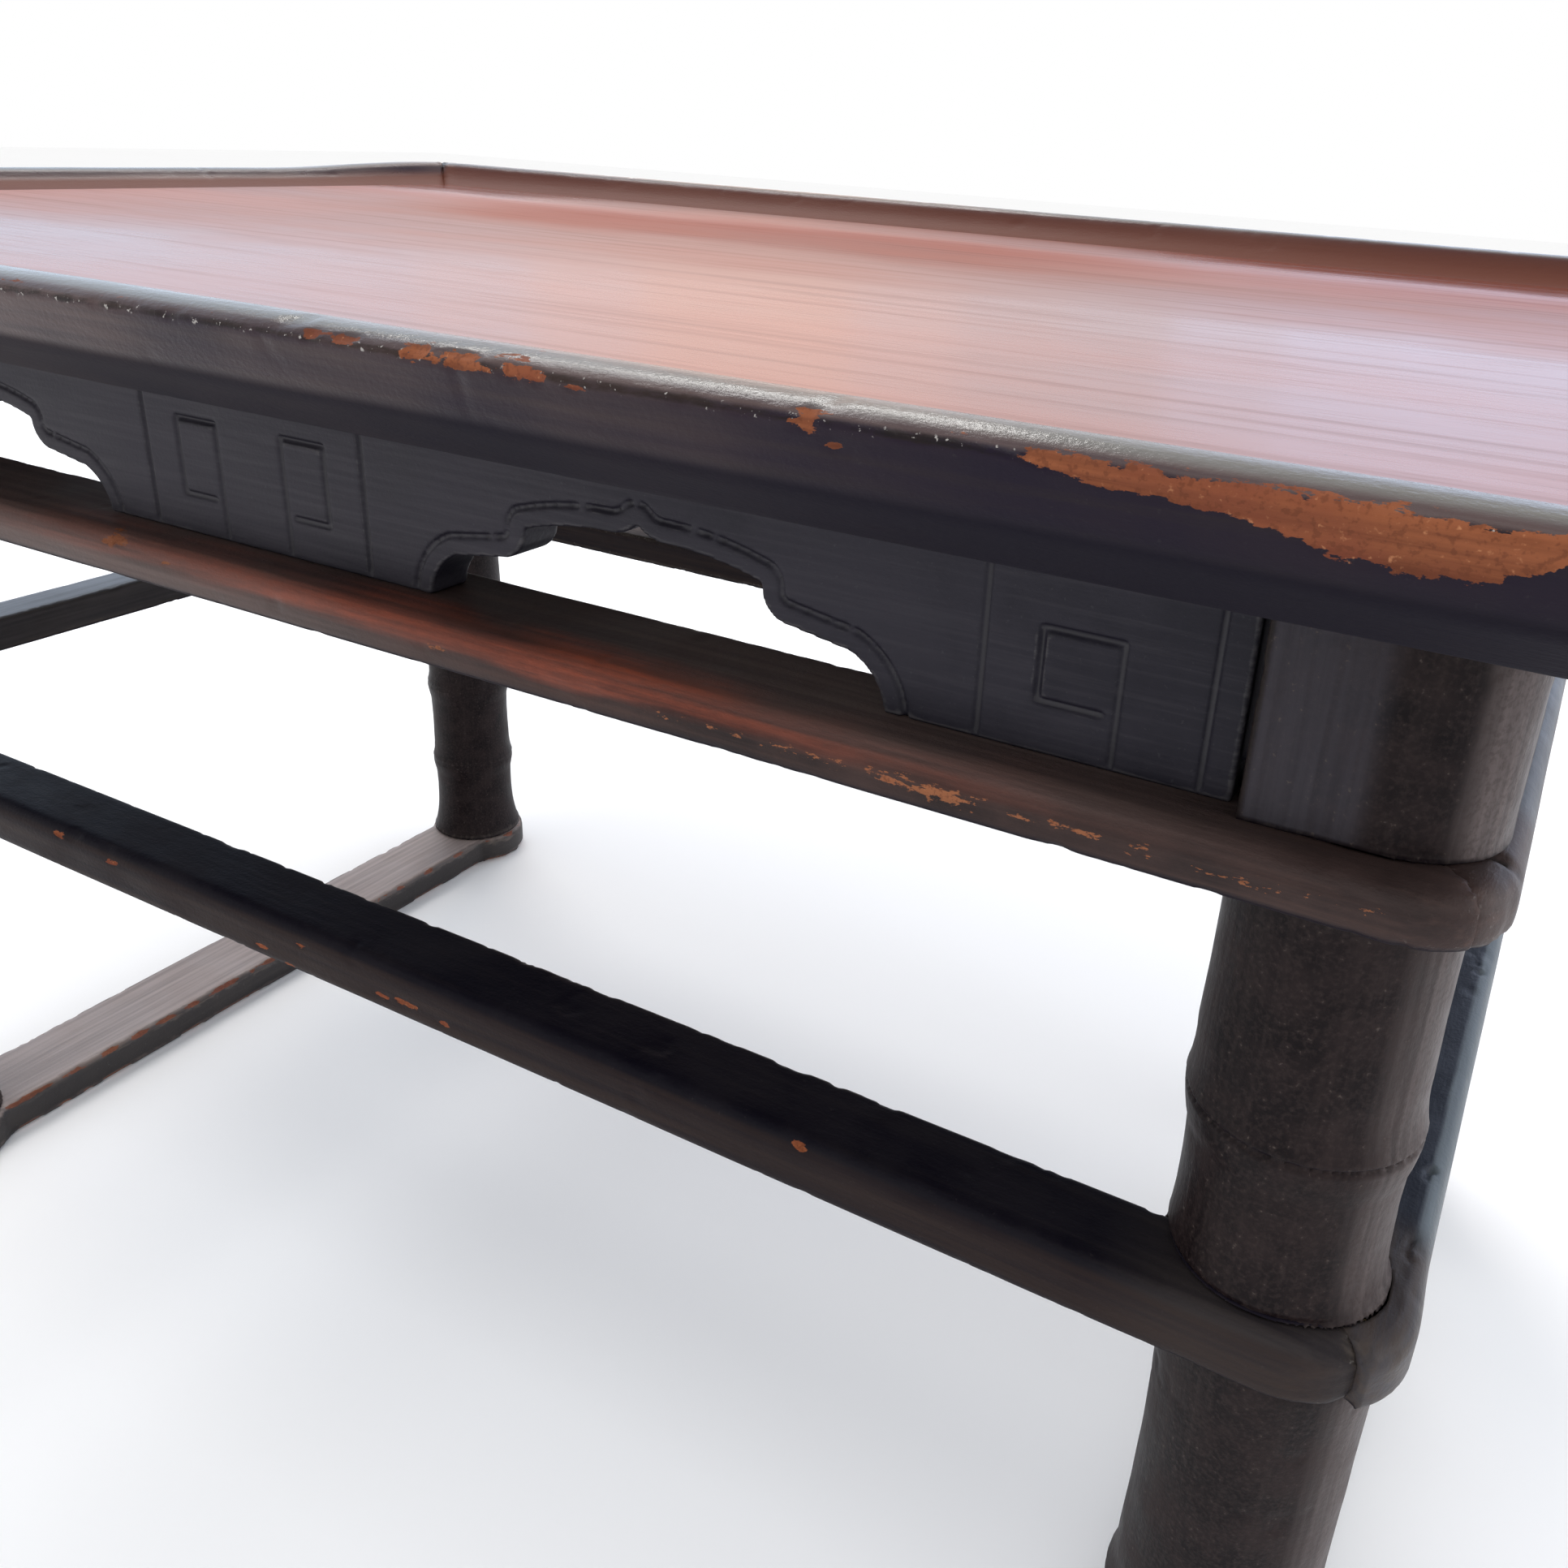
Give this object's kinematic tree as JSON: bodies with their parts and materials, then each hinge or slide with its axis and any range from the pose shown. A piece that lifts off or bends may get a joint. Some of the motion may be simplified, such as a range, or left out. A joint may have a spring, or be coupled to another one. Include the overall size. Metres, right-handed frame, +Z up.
{
  "type": "soban table",
  "caption": "Low rectangular tray table with a rimmed lacquered top, pierced aprons with incised frets, bamboo-node legs, rails mitred round the legs and foot runners.",
  "frame": {"origin": "on the floor under the middle of the top", "axes": "+X along the long side, +Y from the front to the back, +Z up"},
  "size_m": [0.456, 0.326, 0.2628],
  "materials": {
    "board_lacquer": "polished red-brown lacquer over wood grain",
    "rim_lacquer": "worn black-brown lacquer",
    "apron_lacquer": "matt blue-black lacquer",
    "belt_lacquer": "dark lacquer worn to red-brown wood",
    "leg_lacquer": "mottled grey-brown lacquer",
    "stretcher_lacquer": "near-black lacquer with chipped edges",
    "runner_lacquer": "dusty grey-brown lacquer",
    "bamboo": "bare split bamboo"
  },
  "bodies": {
    "root": {"top_panel": "board_lacquer", "rim_front": "rim_lacquer", "rim_back": "rim_lacquer", "rim_left": "rim_lacquer", "rim_right": "rim_lacquer", "rim_corner_tongues": "bamboo", "apron_front": "apron_lacquer", "apron_back": "apron_lacquer", "apron_left": "apron_lacquer", "apron_right": "apron_lacquer", "apron_foot_pegs": "bamboo", "apron_end_pegs": "bamboo", "belt_front": "belt_lacquer", "belt_back": "belt_lacquer", "belt_left": "belt_lacquer", "belt_right": "belt_lacquer", "belt_pegs": "bamboo", "stretcher_front": "stretcher_lacquer", "stretcher_back": "stretcher_lacquer", "stretcher_left": "stretcher_lacquer", "stretcher_right": "stretcher_lacquer", "stretcher_pegs": "bamboo", "leg_front_left": "leg_lacquer", "leg_front_right": "leg_lacquer", "leg_back_left": "leg_lacquer", "leg_back_right": "leg_lacquer", "runner_left": "runner_lacquer", "runner_right": "runner_lacquer", "foot_wedges": "bamboo"}
  },
  "joints": []
}
